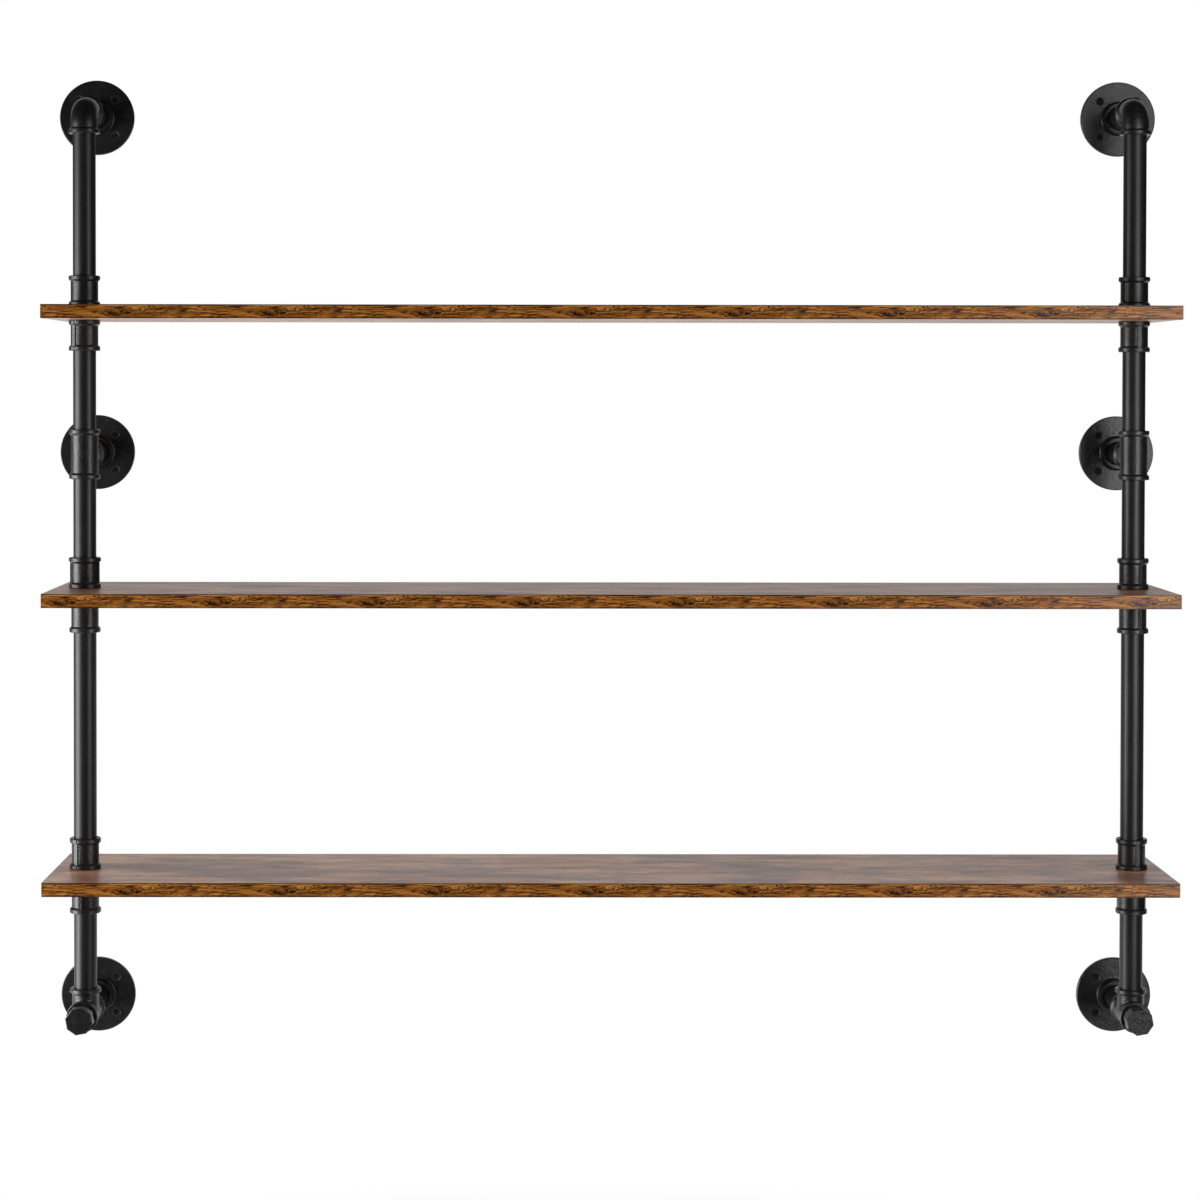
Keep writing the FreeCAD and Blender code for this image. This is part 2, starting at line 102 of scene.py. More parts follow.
world = bpy.data.worlds.new("white_studio")
bpy.context.scene.world = world
world.use_nodes = True
tree = world.node_tree
tree.nodes.clear()
ray = add(tree, "LightPath").outputs
towards = add(tree, "SeparateXYZ", inputs={"Vector": add(tree, "TexCoord").outputs["Generated"]})
glow = add(tree, "MapRange", {"interpolation_type": "SMOOTHSTEP"}, {
    "Value": towards.outputs["Y"], "From Min": WALL_FROM, "From Max": 1.0,
    "To Min": ROOM_GLOW, "To Max": 1.0,
})
# a dark band stands low on that wall, from level to some seven degrees up, with white above and
# below it: the boards mirror it towards the front, and their print stays deep
height = add(tree, "MapRange", inputs={
    "Value": towards.outputs["Z"], "From Min": SHADE_LOW, "From Max": SHADE_HIGH,
})
shade = add(tree, "ValToRGB", inputs={"Fac": height.outputs[0]}, stops=(
    (0.16, "#ffffff"), (0.2, "#303030"), (0.43, "#3c3c3c"), (0.5, "#ffffff"),
))
wall = add(tree, "Math", {"operation": "MULTIPLY"}, {
    0: glow.outputs[0], 1: shade.outputs["Color"],
})
in_gloss = add(tree, "Background", inputs={"Color": "#ffffff", "Strength": wall.outputs[0]})
fill = add(tree, "Background", inputs={"Color": "#ffffff", "Strength": FILL_LEVEL})
backdrop = add(tree, "Background", inputs={"Color": "#ffffff", "Strength": 1.0})
mirrored = add(tree, "Math", {"operation": "MAXIMUM"}, {
    0: ray["Is Glossy Ray"], 1: ray["Is Transmission Ray"],
})
unseen = add(tree, "MixShader", inputs={
    "Fac": mirrored.outputs[0], 1: fill.outputs[0], 2: in_gloss.outputs[0],
})
seen = add(tree, "MixShader", inputs={
    "Fac": ray["Is Camera Ray"], 1: unseen.outputs[0], 2: backdrop.outputs[0],
})
add(tree, "OutputWorld", inputs={"Surface": seen.outputs[0]})

# the floor keeps the unit's shadow near its middle and fades into the white further out; the
# distances are in metres
FLOOR_DROP = 0.8
FLOOR_RADIUS = 6.0
FLOOR_SIDES = 96
FADE_FROM = 0.9
FADE_TO = 2.2
# how far behind the unit the floor is as light in a reflection as the wall
GLOW_REACH = 1.5
floor_mesh = bpy.data.meshes.new("studio_floor")
shape = bmesh.new()
bmesh.ops.create_circle(shape, cap_ends=True, segments=FLOOR_SIDES, radius=FLOOR_RADIUS)
shape.to_mesh(floor_mesh)
shape.free()
floor = bpy.data.objects.new("studio_floor", floor_mesh)
floor.location.z = cad_box[0].z - FLOOR_DROP
bpy.context.scene.collection.objects.link(floor)
paper = bpy.data.materials.new("pale_studio_paper")
paper.use_nodes = True
tree = paper.node_tree
tree.nodes.clear()
ray = add(tree, "LightPath").outputs
reach = add(tree, "VectorMath", {"operation": "LENGTH"}, {
    0: add(tree, "TexCoord").outputs["Object"],
})
fade = add(tree, "MapRange", {"interpolation_type": "SMOOTHSTEP"}, {
    "Value": reach.outputs["Value"], "From Min": FADE_FROM, "From Max": FADE_TO,
})
direct = add(tree, "Math", {"operation": "MAXIMUM"}, {
    0: ray["Is Camera Ray"], 1: ray["Is Glossy Ray"],
})
direct = add(tree, "Math", {"operation": "MAXIMUM"}, {
    0: direct.outputs[0], 1: ray["Is Transmission Ray"],
})
white = add(tree, "Math", {"operation": "MULTIPLY"}, {0: direct.outputs[0], 1: fade.outputs[0]})
# in a reflection the floor in front of the unit is as dark as the room
behind = add(tree, "SeparateXYZ", inputs={"Vector": add(tree, "TexCoord").outputs["Object"]})
glow = add(tree, "MapRange", {"interpolation_type": "SMOOTHSTEP"}, {
    "Value": behind.outputs["Y"], "From Min": 0.0, "From Max": GLOW_REACH, "To Min": ROOM_GLOW,
})
level = add(tree, "Math", {"operation": "MAXIMUM"}, {0: ray["Is Camera Ray"], 1: glow.outputs[0]})
matt = add(tree, "BsdfDiffuse", inputs={"Color": "#f2f1ef"})
bright = add(tree, "Emission", inputs={"Color": "#ffffff", "Strength": level.outputs[0]})
both = add(tree, "MixShader", inputs={
    "Fac": white.outputs[0], 1: matt.outputs[0], 2: bright.outputs[0],
})
add(tree, "OutputMaterial", inputs={"Surface": both.outputs[0]})
floor_mesh.materials.append(paper)

SOFTBOXES = {
    # name: centre, width and height in metres, brightness as a multiple of white
    "softbox_left": (Vector((-1.98, -0.57, -0.38)), 1.15, 1.75, 7.8),
    "softbox_right": (Vector((1.1, -1.28, -0.08)), 0.6, 1.15, 5.2),
    "softbox_high": (Vector((0.9, -1.3, 0.75)), 0.4, 0.4, 4.0),
}
# each lamp turns level towards the middle of the columns, which stand this far before the wall
COLUMNS_AT = -0.1
for name, (centre, width, height, brightness) in SOFTBOXES.items():
    lamp = bpy.data.lights.new(name, "AREA")
    lamp.shape = "RECTANGLE"
    lamp.size = width
    lamp.size_y = height
    lamp.energy = brightness * math.pi * width * height
    softbox = bpy.data.objects.new(name, lamp)
    softbox.location = centre
    aim = Vector((0.0, COLUMNS_AT, centre.z)) - centre
    softbox.rotation_euler = aim.to_track_quat("-Z", "Y").to_euler()
    softbox.visible_camera = False
    bpy.context.scene.collection.objects.link(softbox)

# where the camera stands, in metres, and how it is turned from level and square, in degrees
STANDPOINT = (-0.0923, -3.3764, 0.2079)
TILT = -1.074
ROLL = 0.074
SWING = 0.187
lens = bpy.data.cameras.new("camera")
lens.lens = 83.74
lens.shift_x = 0.05
lens.shift_y = -0.135
camera = bpy.data.objects.new("camera", lens)
camera.location = STANDPOINT
camera.rotation_euler = (math.pi / 2 + math.radians(TILT), -math.radians(ROLL),
                         -math.radians(SWING))
bpy.context.scene.collection.objects.link(camera)
bpy.context.scene.camera = camera

# ---- Wall flanges ----
# Six round floor flanges, one to an arm: malleable iron cast in sand with a threaded hub, shot
# blasted and dipped in black lacquer. The film leaves the grain of the sand showing, half matt,
# and wears to grey along the outer edges, a grey that also serves as a painted highlight there.
# Grooves, and faces that stand close together, are darkened as painted shade.

MM = 0.001
# the sockets of a Mix node that take and give colours
FIRST, SECOND, MIXED = 6, 7, 2


def new_finish(name):
    """A material, its node tree and its shader, for the caller to set."""
    material = bpy.data.materials.new(name)
    material.use_nodes = True
    return material, material.node_tree, material.node_tree.nodes["Principled BSDF"]


def coat(material, *stems):
    """Gives the material to every piece of the frame whose name starts with one of the stems."""
    for name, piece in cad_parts.items():
        if name.startswith(stems):
            piece.material_slots[0].material = material


# blasting sand leaves pits of about 0.4 mm, drawn 1.8 mm wide to show at the unit's full size
SAND_GRAIN = 1.8 * MM
PIT_DEPTH = 0.35 * MM
# the mould's rammed face leaves low swellings between them
SWELLING = 6 * MM
SWELL_HEIGHT = 0.4 * MM
# the film runs as it dries, and lies thicker and thinner in patches
FLOW_MARK = 11 * MM
# how near two faces stand where painted shade darkens the film, and how far the grey of wear
# and painted highlight reaches in from a corner
PAINTED_SHADE_REACH = 3 * MM
WEAR_AND_HIGHLIGHT_REACH = 0.9 * MM

lacquered_iron, tree, shader = new_finish("black_lacquered_malleable_iron")
where = add(tree, "TexCoord").outputs["Object"]
sand = add(tree, "TexNoise", inputs={
    "Vector": where, "Scale": 1 / SAND_GRAIN, "Detail": 2.0, "Roughness": 0.6,
})
rammed = add(tree, "TexNoise", inputs={
    "Vector": where, "Scale": 1 / SWELLING, "Detail": 3.0, "Roughness": 0.6,
})
flow = add(tree, "TexNoise", inputs={
    "Vector": where, "Scale": 1 / FLOW_MARK, "Detail": 5.0, "Roughness": 0.7,
})
film = add(tree, "ValToRGB", inputs={"Fac": flow.outputs["Fac"]}, stops=(
    (0.35, "#050506"), (0.5, "#0c0c0d"), (0.65, "#19191a"),
))
# painted shade: the film is darkened towards near black in grooves and where faces stand close
shade_occlusion = add(tree, "AmbientOcclusion", {"samples": 6}, {"Distance": PAINTED_SHADE_REACH})
painted_shade = add(tree, "MapRange", inputs={
    "Value": shade_occlusion.outputs["AO"], "From Min": 0.85, "From Max": 0.4, "To Max": 0.9,
})
shaded_film = add(tree, "Mix", {"data_type": "RGBA"}, {
    "Factor": painted_shade.outputs[0], FIRST: film.outputs["Color"], SECOND: "#040404",
})
# the grey of worn corners, which also serves as a painted highlight along every outer edge
corners = add(tree, "AmbientOcclusion", {"samples": 6, "inside": True}, {"Distance": WEAR_AND_HIGHLIGHT_REACH})
wear_and_highlight = add(tree, "MapRange", inputs={
    "Value": corners.outputs["AO"], "From Min": 0.75, "From Max": 0.45, "To Max": 0.4,
})
tone = add(tree, "Mix", {"data_type": "RGBA"}, {
    "Factor": wear_and_highlight.outputs[0], FIRST: shaded_film.outputs[MIXED], SECOND: "#5a5755",
})
gloss = add(tree, "MapRange", inputs={
    "Value": sand.outputs["Fac"], "From Min": 0.3, "From Max": 0.7,
    "To Min": 0.34, "To Max": 0.46,
})
swells = add(tree, "Bump", inputs={
    "Strength": 0.9, "Distance": SWELL_HEIGHT, "Height": rammed.outputs["Fac"],
})
pits = add(tree, "Bump", inputs={
    "Strength": 0.7, "Distance": PIT_DEPTH, "Height": sand.outputs["Fac"],
    "Normal": swells.outputs["Normal"],
})
tree.links.new(tone.outputs[MIXED], shader.inputs["Base Color"])
tree.links.new(gloss.outputs[0], shader.inputs["Roughness"])
tree.links.new(pits.outputs["Normal"], shader.inputs["Normal"])
tree.links.new(pits.outputs["Normal"], shader.inputs["Coat Normal"])
shader.inputs["IOR"].default_value = 1.5
shader.inputs["Coat Weight"].default_value = 0.3
shader.inputs["Coat Roughness"].default_value = 0.28
coat(lacquered_iron, "wall_flange")

# ---- Wall screws ----
# Four 4 mm countersunk wood screws hold each flange and stand in the wall behind it: cold headed
# from wire with a cross recess, the thread rolled to a point. Black phosphate leaves them dull
# and as dark as the lacquer round them, rubbed to grey along the edges, a grey that also serves
# as a painted highlight round the head and the recess.

HEAD_RADIUS = 4.7 * MM
HEAD_RIM = 0.3 * MM
SHANK_RADIUS = 1.45 * MM
CREST_RADIUS = 2.0 * MM
# the plain lengths before and after the thread
THREAD_START = 7.0 * MM
THREAD_STOP = 1.5 * MM
THREAD_PITCH = 1.8 * MM
# half the width of the thread's foot, and how far a foot stands inside what it is wound on
THREAD_FOOT = 0.4 * MM
THREAD_SINK = 0.1 * MM
TIP_LENGTH = 5.0 * MM
RECESS_ARM = 2.6 * MM
RECESS_HALF = 0.65 * MM
RECESS_DEPTH = 1.8 * MM
# how much smaller the cross is at the bottom of the recess
RECESS_TAPER = 0.45
SCREW_SIDES = 24
# an edge between two faces looks sharp from this angle up, in degrees
CREASE_ANGLE = 30


def point_round(shape, radius, along, angle):
    """A point of the shape, at an angle round the Y axis."""
    return shape.verts.new((radius * math.cos(angle), along, radius * math.sin(angle)))


def join_loops(shape, loops):
    """Faces between each closed loop of points and the next."""
    for here, there in zip(loops, loops[1:]):
        for i in range(len(here)):
            j = (i + 1) % len(here)
            shape.faces.new((here[i], here[j], there[j], there[i]))


def ring(shape, along, radius):
    """A ring of points round the Y axis, for a screw's turned parts."""
    return [point_round(shape, radius, along, 2 * math.pi * i / SCREW_SIDES)
            for i in range(SCREW_SIDES)]


def wind_ridge(shape, start, pitch, turns, root, crest, foot, tip=None, steps=16):
    """Winds a closed three-sided ridge round the Y axis, run out at both ends and at a tip."""
    # over its first and last half turn it rises from a twentieth of its height to the whole
    rows = []
    for step in range(turns * steps + 1):
        angle = 2 * math.pi * step / steps
        along = start + pitch * step / steps
        run_out = min(step, turns * steps - step) / steps
        narrow = min(1.0, (tip - along) / TIP_LENGTH) if tip else 1.0
        rise = (crest - root) * min(1.0, 2 * run_out + 0.05)
        corners = ((along - foot, root), (along, root + rise), (along + foot, root))
        rows.append([point_round(shape, radius * narrow, way, angle) for way, radius in corners])
    join_loops(shape, rows)
    shape.faces.new(rows[0][::-1])
    shape.faces.new(rows[-1])


def new_piece(name, shape, material):
    """Makes an object of the shape, shaded smooth between its sharp edges."""
    mesh = bpy.data.meshes.new(name)
    shape.to_mesh(mesh)
    shape.free()
    mesh.polygons.foreach_set("use_smooth", [True] * len(mesh.polygons))
    mesh.set_sharp_from_angle(angle=math.radians(CREASE_ANGLE))
    mesh.materials.append(material)
    piece = bpy.data.objects.new(name, mesh)
    bpy.context.scene.collection.objects.link(piece)
    return piece


low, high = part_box("flange_screws_top_left")
screw_length = high.y - low.y
shape = bmesh.new()
rings = [
    ring(shape, 0.0, HEAD_RADIUS),
    ring(shape, HEAD_RIM, HEAD_RADIUS),
    ring(shape, HEAD_RADIUS - SHANK_RADIUS, SHANK_RADIUS),
    ring(shape, screw_length - TIP_LENGTH, SHANK_RADIUS),
]
point = shape.verts.new((0.0, screw_length, 0.0))
join_loops(shape, rings)
for i in range(SCREW_SIDES):
    shape.faces.new((rings[-1][i], rings[-1][(i + 1) % SCREW_SIDES], point))

# the cross recess: its walls lean in towards a smaller cross at the bottom
quarter = [(RECESS_ARM, RECESS_HALF), (RECESS_HALF, RECESS_HALF), (RECESS_HALF, RECESS_ARM)]
cross = quarter + [(-x, z) for x, z in quarter[::-1]]
cross += [(-x, -z) for x, z in cross]
mouth = [shape.verts.new((x, 0.0, z)) for x, z in cross]
bottom = [shape.verts.new((x * RECESS_TAPER, RECESS_DEPTH, z * RECESS_TAPER)) for x, z in cross]
join_loops(shape, [mouth, bottom])
shape.faces.new(bottom)
rims = [shape.edges.get((loop[i], loop[(i + 1) % len(loop)]))
        for loop in (rings[0], mouth) for i in range(len(loop))]
bmesh.ops.triangle_fill(shape, use_beauty=True, edges=rims)
turns = int((screw_length - THREAD_START - THREAD_STOP) / THREAD_PITCH)
wind_ridge(shape, THREAD_START, THREAD_PITCH, turns, SHANK_RADIUS - THREAD_SINK, CREST_RADIUS,
           THREAD_FOOT, tip=screw_length)
bmesh.ops.recalc_face_normals(shape, faces=shape.faces)
screw_mesh = bpy.data.meshes.new("wood_screw")
shape.to_mesh(screw_mesh)
shape.free()

# phosphate crystals are 0.01 mm across, drawn as patches of 0.8 mm to show close up
CRYSTAL_PATCH = 0.8 * MM
# how far the grey of the driver's and the countersink's rubbing, which is also a painted
# highlight, reaches in from an edge
RUB_AND_HIGHLIGHT_REACH = 0.5 * MM

phosphated_steel, tree, shader = new_finish("black_phosphated_steel")
where = add(tree, "TexCoord").outputs["Object"]
crystals = add(tree, "TexNoise", inputs={
    "Vector": where, "Scale": 1 / CRYSTAL_PATCH, "Detail": 2.0,
})
coating = add(tree, "ValToRGB", inputs={"Fac": crystals.outputs["Fac"]}, stops=(
    (0.35, "#060606"), (0.65, "#0d0c0c"),
))
# grey rubbed edges, which also serve as a painted highlight round the head and the recess
corners = add(tree, "AmbientOcclusion", {"samples": 6, "inside": True}, {"Distance": RUB_AND_HIGHLIGHT_REACH})
rubbed_and_highlit = add(tree, "MapRange", inputs={
    "Value": corners.outputs["AO"], "From Min": 0.85, "From Max": 0.45, "To Max": 0.7,
})
tone = add(tree, "Mix", {"data_type": "RGBA"}, {
    "Factor": rubbed_and_highlit.outputs[0], FIRST: coating.outputs["Color"], SECOND: "#575554",
})
tree.links.new(tone.outputs[MIXED], shader.inputs["Base Color"])
shader.inputs["Roughness"].default_value = 0.6
shader.inputs["Specular IOR Level"].default_value = 0.2

# each screw of a flange stopped at its own turn, in degrees
LAST_TURNS = (20, 63, 5, 41)
for level in ("top", "middle", "bottom"):
    for side in ("left", "right"):
        node = f"flange_screws_{level}_{side}"
        low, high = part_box(node)
        spots = [(x, z) for x in (low.x + HEAD_RADIUS, high.x - HEAD_RADIUS)
                 for z in (low.z + HEAD_RADIUS, high.z - HEAD_RADIUS)]
        shape = bmesh.new()
        for (x, z), degrees in zip(spots, LAST_TURNS):
            known = len(shape.verts)
            shape.from_mesh(screw_mesh)
            shape.verts.ensure_lookup_table()
            stand = (Matrix.Translation((x, low.y, z))
                     @ Matrix.Rotation(math.radians(degrees), 4, "Y"))
            bmesh.ops.transform(shape, matrix=stand, verts=shape.verts[known:])
        screws = new_piece(f"wood_screws_{level}_{side}", shape, phosphated_steel)
        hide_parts(node)
        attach(screws, "root")
bpy.data.meshes.remove(screw_mesh)

# ---- Arm nipples and riser pipes ----
# Lengths of 3/4 inch welded steel pipe, threaded at both ends and dipped in the same lacquer.
# The drawn surface is smoother than a casting: satin, with faint lines along the pipe.

# drawing leaves lines of about 0.2 mm, drawn 1.3 mm wide to show at the unit's full size
LINE_WIDTH = 1.3 * MM
LINE_STRETCH = 60
LINE_DEPTH = 0.05 * MM
# the film's patches are wider on smooth pipe than on a casting
PIPE_FLOW_MARK = 25 * MM
# the scale that draws the lines out along the pipe
ALONG = {
    "upright": (1.0, 1.0, 1 / LINE_STRETCH),
    "arm": (1.0, 1 / LINE_STRETCH, 1.0),
}
lacquered_pipe = {}
for lie, scale in ALONG.items():
    material, tree, shader = new_finish(f"black_lacquered_steel_pipe_{lie}")
    where = add(tree, "TexCoord").outputs["Object"]
    drawn = add(tree, "Mapping", inputs={"Vector": where, "Scale": scale})
    lines = add(tree, "TexNoise", inputs={
        "Vector": drawn.outputs[0], "Scale": 1 / LINE_WIDTH, "Detail": 2.0,
    })
    flow = add(tree, "TexNoise", inputs={
        "Vector": where, "Scale": 1 / PIPE_FLOW_MARK, "Detail": 3.0,
    })
    film = add(tree, "ValToRGB", inputs={"Fac": flow.outputs["Fac"]}, stops=(
        (0.3, "#0f0f10"), (0.7, "#161617"),
    ))
    gloss = add(tree, "MapRange", inputs={
        "Value": lines.outputs["Fac"], "From Min": 0.3, "From Max": 0.7,
        "To Min": 0.36, "To Max": 0.44,
    })
    relief = add(tree, "Bump", inputs={
        "Strength": 0.2, "Distance": LINE_DEPTH, "Height": lines.outputs["Fac"],
    })
    tree.links.new(film.outputs["Color"], shader.inputs["Base Color"])
    tree.links.new(gloss.outputs[0], shader.inputs["Roughness"])
    tree.links.new(relief.outputs["Normal"], shader.inputs["Normal"])
    shader.inputs["IOR"].default_value = 1.5
    lacquered_pipe[lie] = material
coat(lacquered_pipe["arm"], "arm_nipple")
coat(lacquered_pipe["upright"], "riser_pipe", "shelf_nipple")

# ---- Elbows, tees, plugs and couplings ----
# Banded malleable fittings, cast and lacquered like the flanges and screwed on the pipe: an elbow
# at the top of each column, a tee at each lower arm, a plug in the bottom tee, and a coupling
# above and below each board.

coat(lacquered_iron, "elbow", "middle_tee", "bottom_tee", "plug", "coupling")

# between its head and the tee a plug shows the last turns of its 14 to the inch thread
PIPE_PITCH = 25.4 / 14 * MM
# how far its crest stands out from the neck, and half the width of its foot
PIPE_CREST = 0.5 * MM
PIPE_THREAD_FOOT = 0.8 * MM
TURNS_SHOWN = 3
PLUG_HEAD = 16 * MM
NECK_RADIUS = 13.35 * MM
for side in ("left", "right"):
    low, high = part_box(f"plug_{side}")
    shape = bmesh.new()
    wind_ridge(shape, PIPE_PITCH, PIPE_PITCH, TURNS_SHOWN, NECK_RADIUS - THREAD_SINK,
               NECK_RADIUS + PIPE_CREST, PIPE_THREAD_FOOT, steps=48)
    middle = (low + high) / 2
    bmesh.ops.translate(shape, vec=(middle.x, low.y + PLUG_HEAD, middle.z), verts=shape.verts)
    bmesh.ops.recalc_face_normals(shape, faces=shape.faces)
    thread = new_piece(f"plug_thread_{side}", shape, lacquered_iron)
    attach(thread, "root")

# ---- Shelf boards ----
# Three boards of 16 mm chipboard faced on both sides with melamine paper: a printed brown wood
# pressed on under heat, smooth and slightly embossed along the grain, with a satin skin.

# the print's pores are 0.3 mm wide, drawn 1.6 mm wide to show at the unit's full size
PORE_WIDTH = 1.6 * MM
PORE_STRETCH = 14
PORE_DEPTH = 0.08 * MM
# the lighter and darker figure along the grain, and the smoky clouds printed over it
PLANK_WIDTH = 22 * MM
PLANK_STRETCH = 5.5
CLOUD_WIDTH = 75 * MM
CLOUD_STRETCH = 1.6
# the grain bends sideways by up to half of this sway, over this length of board
BEND_LENGTH = 70 * MM
BEND_SWAY = 22 * MM

melamine, tree, shader = new_finish("wood_print_melamine")
where = add(tree, "TexCoord").outputs["Object"]
bend = add(tree, "TexNoise", inputs={"Vector": where, "Scale": 1 / BEND_LENGTH, "Detail": 2.0})
bent = add(tree, "VectorMath", {"operation": "MULTIPLY_ADD"}, {
    0: bend.outputs["Color"], 1: (0.0, BEND_SWAY, 0.0), 2: where,
})
pored = add(tree, "Mapping", inputs={
    "Vector": bent.outputs[0], "Scale": (1 / PORE_STRETCH, 1.0, 1.0),
})
pores = add(tree, "TexNoise", inputs={
    "Vector": pored.outputs[0], "Scale": 1 / PORE_WIDTH, "Detail": 2.0, "Roughness": 0.6,
})
planked = add(tree, "Mapping", inputs={
    "Vector": bent.outputs[0], "Scale": (1 / PLANK_STRETCH, 1.0, 1.0),
})
broad = add(tree, "TexNoise", inputs={
    "Vector": planked.outputs[0], "Scale": 1 / PLANK_WIDTH, "Detail": 7.0, "Roughness": 0.66,
})
clouded = add(tree, "Mapping", inputs={
    "Vector": bent.outputs[0], "Scale": (1 / CLOUD_STRETCH, 1.0, 1.0),
})
cloud = add(tree, "TexNoise", inputs={
    "Vector": clouded.outputs[0], "Scale": 1 / CLOUD_WIDTH, "Detail": 4.0, "Roughness": 0.6,
})
ground = add(tree, "ValToRGB", inputs={"Fac": broad.outputs["Fac"]}, stops=(
    (0.32, "#996c54"), (0.45, "#ad7d60"), (0.55, "#bf8f6e"), (0.68, "#d1a480"),
))
smoke = add(tree, "MapRange", {"interpolation_type": "SMOOTHSTEP"}, {
    "Value": cloud.outputs["Fac"], "From Min": 0.45, "From Max": 0.6, "To Max": 0.55,
})
smoked = add(tree, "Mix", {"data_type": "RGBA"}, {
    "Factor": smoke.outputs[0], FIRST: ground.outputs["Color"], SECOND: "#5f4d56",
})
veins = add(tree, "MapRange", inputs={
    "Value": pores.outputs["Fac"], "From Min": 0.47, "From Max": 0.38, "To Max": 0.6,
})
veined = add(tree, "Mix", {"data_type": "RGBA"}, {
    "Factor": veins.outputs[0], FIRST: smoked.outputs[MIXED], SECOND: "#3a2317",
})
gloss = add(tree, "MapRange", inputs={
    "Value": broad.outputs["Fac"], "From Min": 0.35, "From Max": 0.65,
    "To Min": 0.4, "To Max": 0.32,
})
relief = add(tree, "Bump", inputs={
    "Strength": 0.2, "Distance": PORE_DEPTH, "Height": pores.outputs["Fac"],
})
tree.links.new(veined.outputs[MIXED], shader.inputs["Base Color"])
tree.links.new(gloss.outputs[0], shader.inputs["Roughness"])
tree.links.new(relief.outputs["Normal"], shader.inputs["Normal"])
shader.inputs["IOR"].default_value = 1.5
coat(melamine, "shelf_board")

# ---- Edge banding ----
# PVC banding, 1 mm thick, hot-glued round each board and trimmed flush. It is printed from a
# roller, so the same stretch of golden brown wood comes round again all along the satin edge, and
# the strip is darker along its top and bottom edges.

ROLLER_ROUND = 176 * MM
ROLLER_RADIUS = ROLLER_ROUND / (2 * math.pi)
# for each board: where its strip starts on the roller
STARTS = {"top": 0.0, "middle": 63 * MM, "bottom": 165 * MM}
# the print's pores are 0.3 mm wide, drawn as streaks of 1.2 mm to show at the unit's full size
STREAK_WIDTH = 1.2 * MM
STREAK_DEPTH = 0.08 * MM
# the turns that its grain takes, its dark flecks, and its lighter and darker bands
SWIRL_WIDTH = 3.2 * MM
FLECK_WIDTH = 1.0 * MM
BAND_WIDTH = 1.7 * MM
LAYERS = {
    # name: width, how far it is drawn out along the strip, lift to its own noise, detail
    "swirl": (SWIRL_WIDTH, 3.0, 0.0, 2.0),
    "flecks": (FLECK_WIDTH, 7.0, 40 * MM, 3.0),
    "bands": (BAND_WIDTH, 20.0, 20 * MM, 3.0),
    "streaks": (STREAK_WIDTH, 14.0, 0.0, 3.0),
}
# one slanting row of knots to a turn of the roller: the place round it, the rise from the
# middle of the strip, and how far the knot reaches along, all in mm
KNOTS = ((112, -4.0, 13), (127, -1.5, 13), (141, 1.5, 13), (156, 4.5, 13))
KNOT_HEIGHT = 4.5 * MM
KNOT_CORE = 0.5 * MM
# how much a knot takes off the flecks' noise, which makes more of it dark
CROWDING = 0.11
# how far the grain swerves up and down, away from a knot and at one
SWERVE = 1.0 * MM
KNOT_SWERVE = 6.0 * MM
# the dark line along the strip's top and bottom edges: its width, and the part that is darkest
DARK_EDGE_WIDTH = 1.2 * MM
DARK_EDGE_CORE = 0.5 * MM

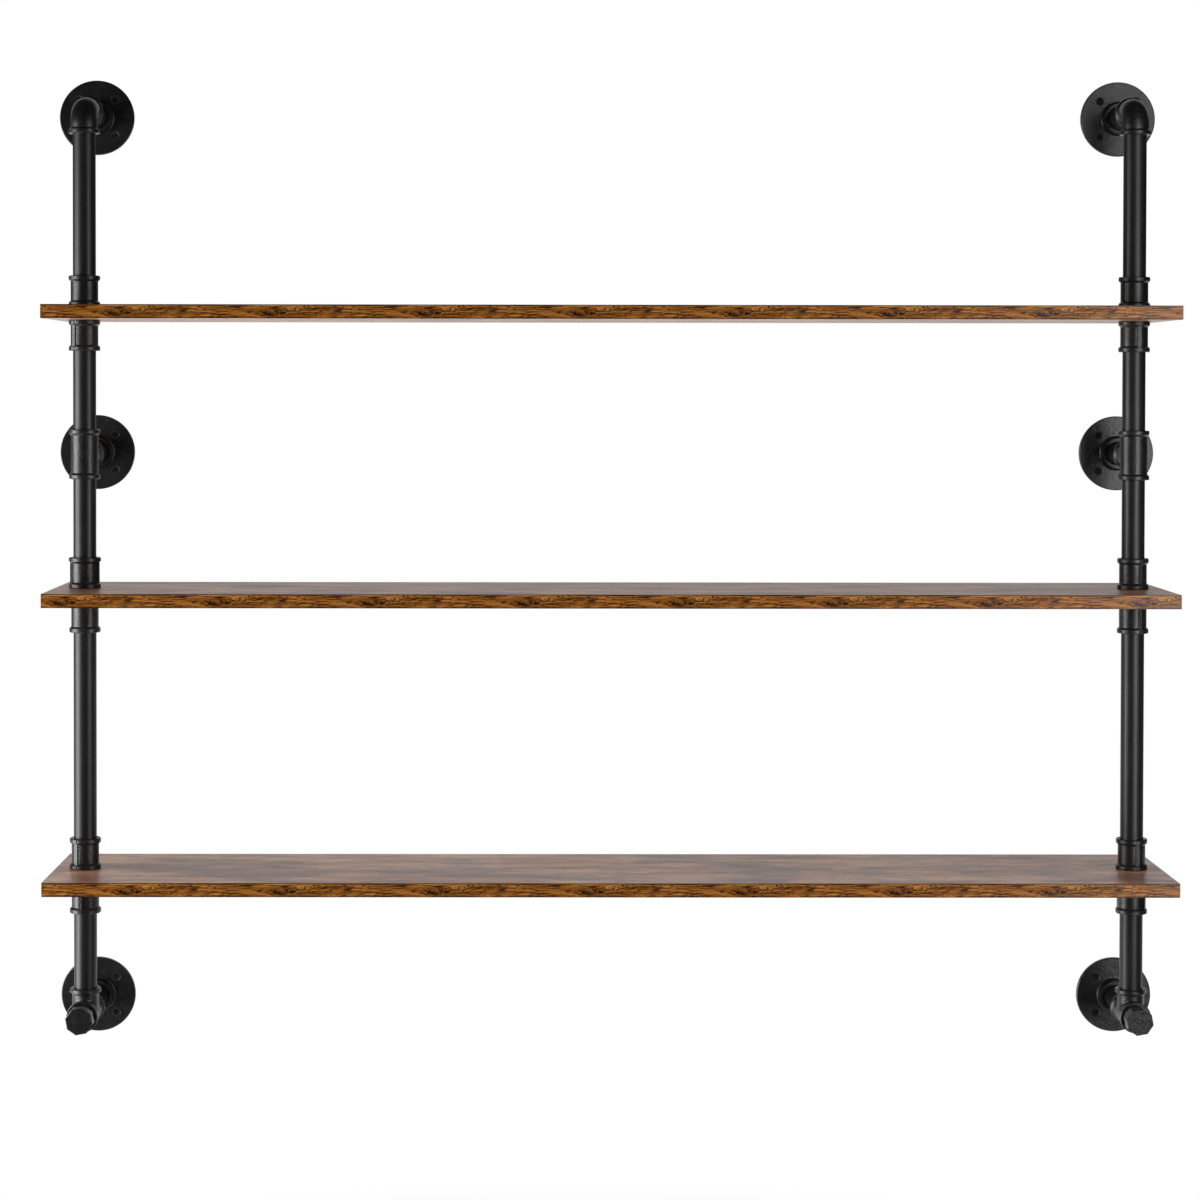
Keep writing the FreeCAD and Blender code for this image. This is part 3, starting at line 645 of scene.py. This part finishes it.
for level, start in STARTS.items():
    material, tree, shader = new_finish(f"wood_print_banding_{level}")
    edge_low, edge_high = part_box(f"edge_banding_{level}")
    where = add(tree, "SeparateXYZ", inputs={
        "Vector": add(tree, "TexCoord").outputs["Object"],
    }).outputs
    # the strip's length runs on round the corners, so x and y add up to the way along it
    way = add(tree, "Math", {"operation": "ADD"}, {0: where["X"], 1: where["Y"]})
    around = add(tree, "Math", {"operation": "MULTIPLY_ADD"}, {
        0: way.outputs[0], 1: 1 / ROLLER_RADIUS, 2: start / ROLLER_RADIUS,
    })
    middle = (edge_low.z + edge_high.z) / 2
    half = (edge_high.z - edge_low.z) / 2
    up = add(tree, "Math", {"operation": "SUBTRACT"}, {0: where["Z"], 1: middle})

    knotted = None
    for place, rise, reach in KNOTS:
        off = add(tree, "Math", {"operation": "SUBTRACT"}, {
            0: around.outputs[0], 1: place * MM / ROLLER_RADIUS,
        })
        near = add(tree, "Math", {"operation": "COSINE"}, {0: off.outputs[0]})
        along = add(tree, "MapRange", {"interpolation_type": "SMOOTHSTEP"}, {
            "Value": near.outputs[0], "From Min": math.cos(reach * MM / ROLLER_RADIUS),
            "From Max": 1.0,
        })
        above = add(tree, "Math", {"operation": "SUBTRACT"}, {0: up.outputs[0], 1: rise * MM})
        away = add(tree, "Math", {"operation": "ABSOLUTE"}, {0: above.outputs[0]})
        across = add(tree, "MapRange", {"interpolation_type": "SMOOTHSTEP"}, {
            "Value": away.outputs[0], "From Min": KNOT_HEIGHT, "From Max": KNOT_CORE,
        })
        knot = add(tree, "Math", {"operation": "MULTIPLY"}, {
            0: along.outputs[0], 1: across.outputs[0],
        })
        if knotted:
            knot = add(tree, "Math", {"operation": "MAXIMUM"}, {
                0: knotted.outputs[0], 1: knot.outputs[0],
            })
        knotted = knot

    # each layer is noise laid on a cylinder of the roller's size, so that it closes on itself; the
    # swirl pulls the grain up and down, most at a knot, and the layers after it follow
    cosine = add(tree, "Math", {"operation": "COSINE"}, {0: around.outputs[0]})
    sine = add(tree, "Math", {"operation": "SINE"}, {0: around.outputs[0]})
    pull = add(tree, "MapRange", inputs={
        "Value": knotted.outputs[0], "To Min": SWERVE, "To Max": KNOT_SWERVE,
    })
    grain = {}
    rise = up
    for name, (width, stretch, lift, detail) in LAYERS.items():
        rolled = add(tree, "CombineXYZ", inputs={
            "X": cosine.outputs[0], "Y": sine.outputs[0], "Z": rise.outputs[0],
        })
        laid = add(tree, "Mapping", inputs={
            "Vector": rolled.outputs[0], "Location": (0.0, 0.0, lift),
            "Scale": (ROLLER_RADIUS / stretch, ROLLER_RADIUS / stretch, 1.0),
        })
        grain[name] = add(tree, "TexNoise", inputs={
            "Vector": laid.outputs[0], "Scale": 1 / width, "Detail": detail, "Roughness": 0.6,
        }).outputs["Fac"]
        if name == "swirl":
            rise = add(tree, "Math", {"operation": "MULTIPLY_ADD"}, {
                0: grain[name], 1: pull.outputs[0], 2: up.outputs[0],
            })
    ground = add(tree, "ValToRGB", inputs={"Fac": grain["bands"]}, stops=(
        (0.34, "#6d3d0c"), (0.45, "#884f12"), (0.55, "#9f6420"), (0.68, "#bd803d"),
    ))
    veins = add(tree, "MapRange", inputs={
        "Value": grain["streaks"], "From Min": 0.48, "From Max": 0.42, "To Max": 0.95,
    })
    veined = add(tree, "Mix", {"data_type": "RGBA"}, {
        "Factor": veins.outputs[0], FIRST: ground.outputs["Color"], SECOND: "#2f1402",
    })
    # flecks lie here and there and crowd together at the knots
    crowd = add(tree, "Math", {"operation": "MULTIPLY_ADD"}, {
        0: knotted.outputs[0], 1: -CROWDING, 2: grain["flecks"],
    })
    stain = add(tree, "MapRange", inputs={
        "Value": crowd.outputs[0], "From Min": 0.4, "From Max": 0.36,
    })
    stained = add(tree, "Mix", {"data_type": "RGBA"}, {
        "Factor": stain.outputs[0], FIRST: veined.outputs[MIXED], SECOND: "#150800",
    })
    # the strip is darker along its top and bottom edges
    off_middle = add(tree, "Math", {"operation": "ABSOLUTE"}, {0: up.outputs[0]})
    dark_edges = add(tree, "MapRange", inputs={
        "Value": off_middle.outputs[0], "From Min": half - DARK_EDGE_WIDTH, "From Max": half - DARK_EDGE_CORE,
        "To Max": 0.95,
    })
    tone = add(tree, "Mix", {"data_type": "RGBA"}, {
        "Factor": dark_edges.outputs[0], FIRST: stained.outputs[MIXED], SECOND: "#231003",
    })
    relief = add(tree, "Bump", inputs={
        "Strength": 0.25, "Distance": STREAK_DEPTH, "Height": grain["streaks"],
    })
    tree.links.new(tone.outputs[MIXED], shader.inputs["Base Color"])
    tree.links.new(relief.outputs["Normal"], shader.inputs["Normal"])
    shader.inputs["Roughness"].default_value = 0.32
    shader.inputs["IOR"].default_value = 1.5
    shader.inputs["Specular IOR Level"].default_value = 0.35
    coat(material, f"edge_banding_{level}")
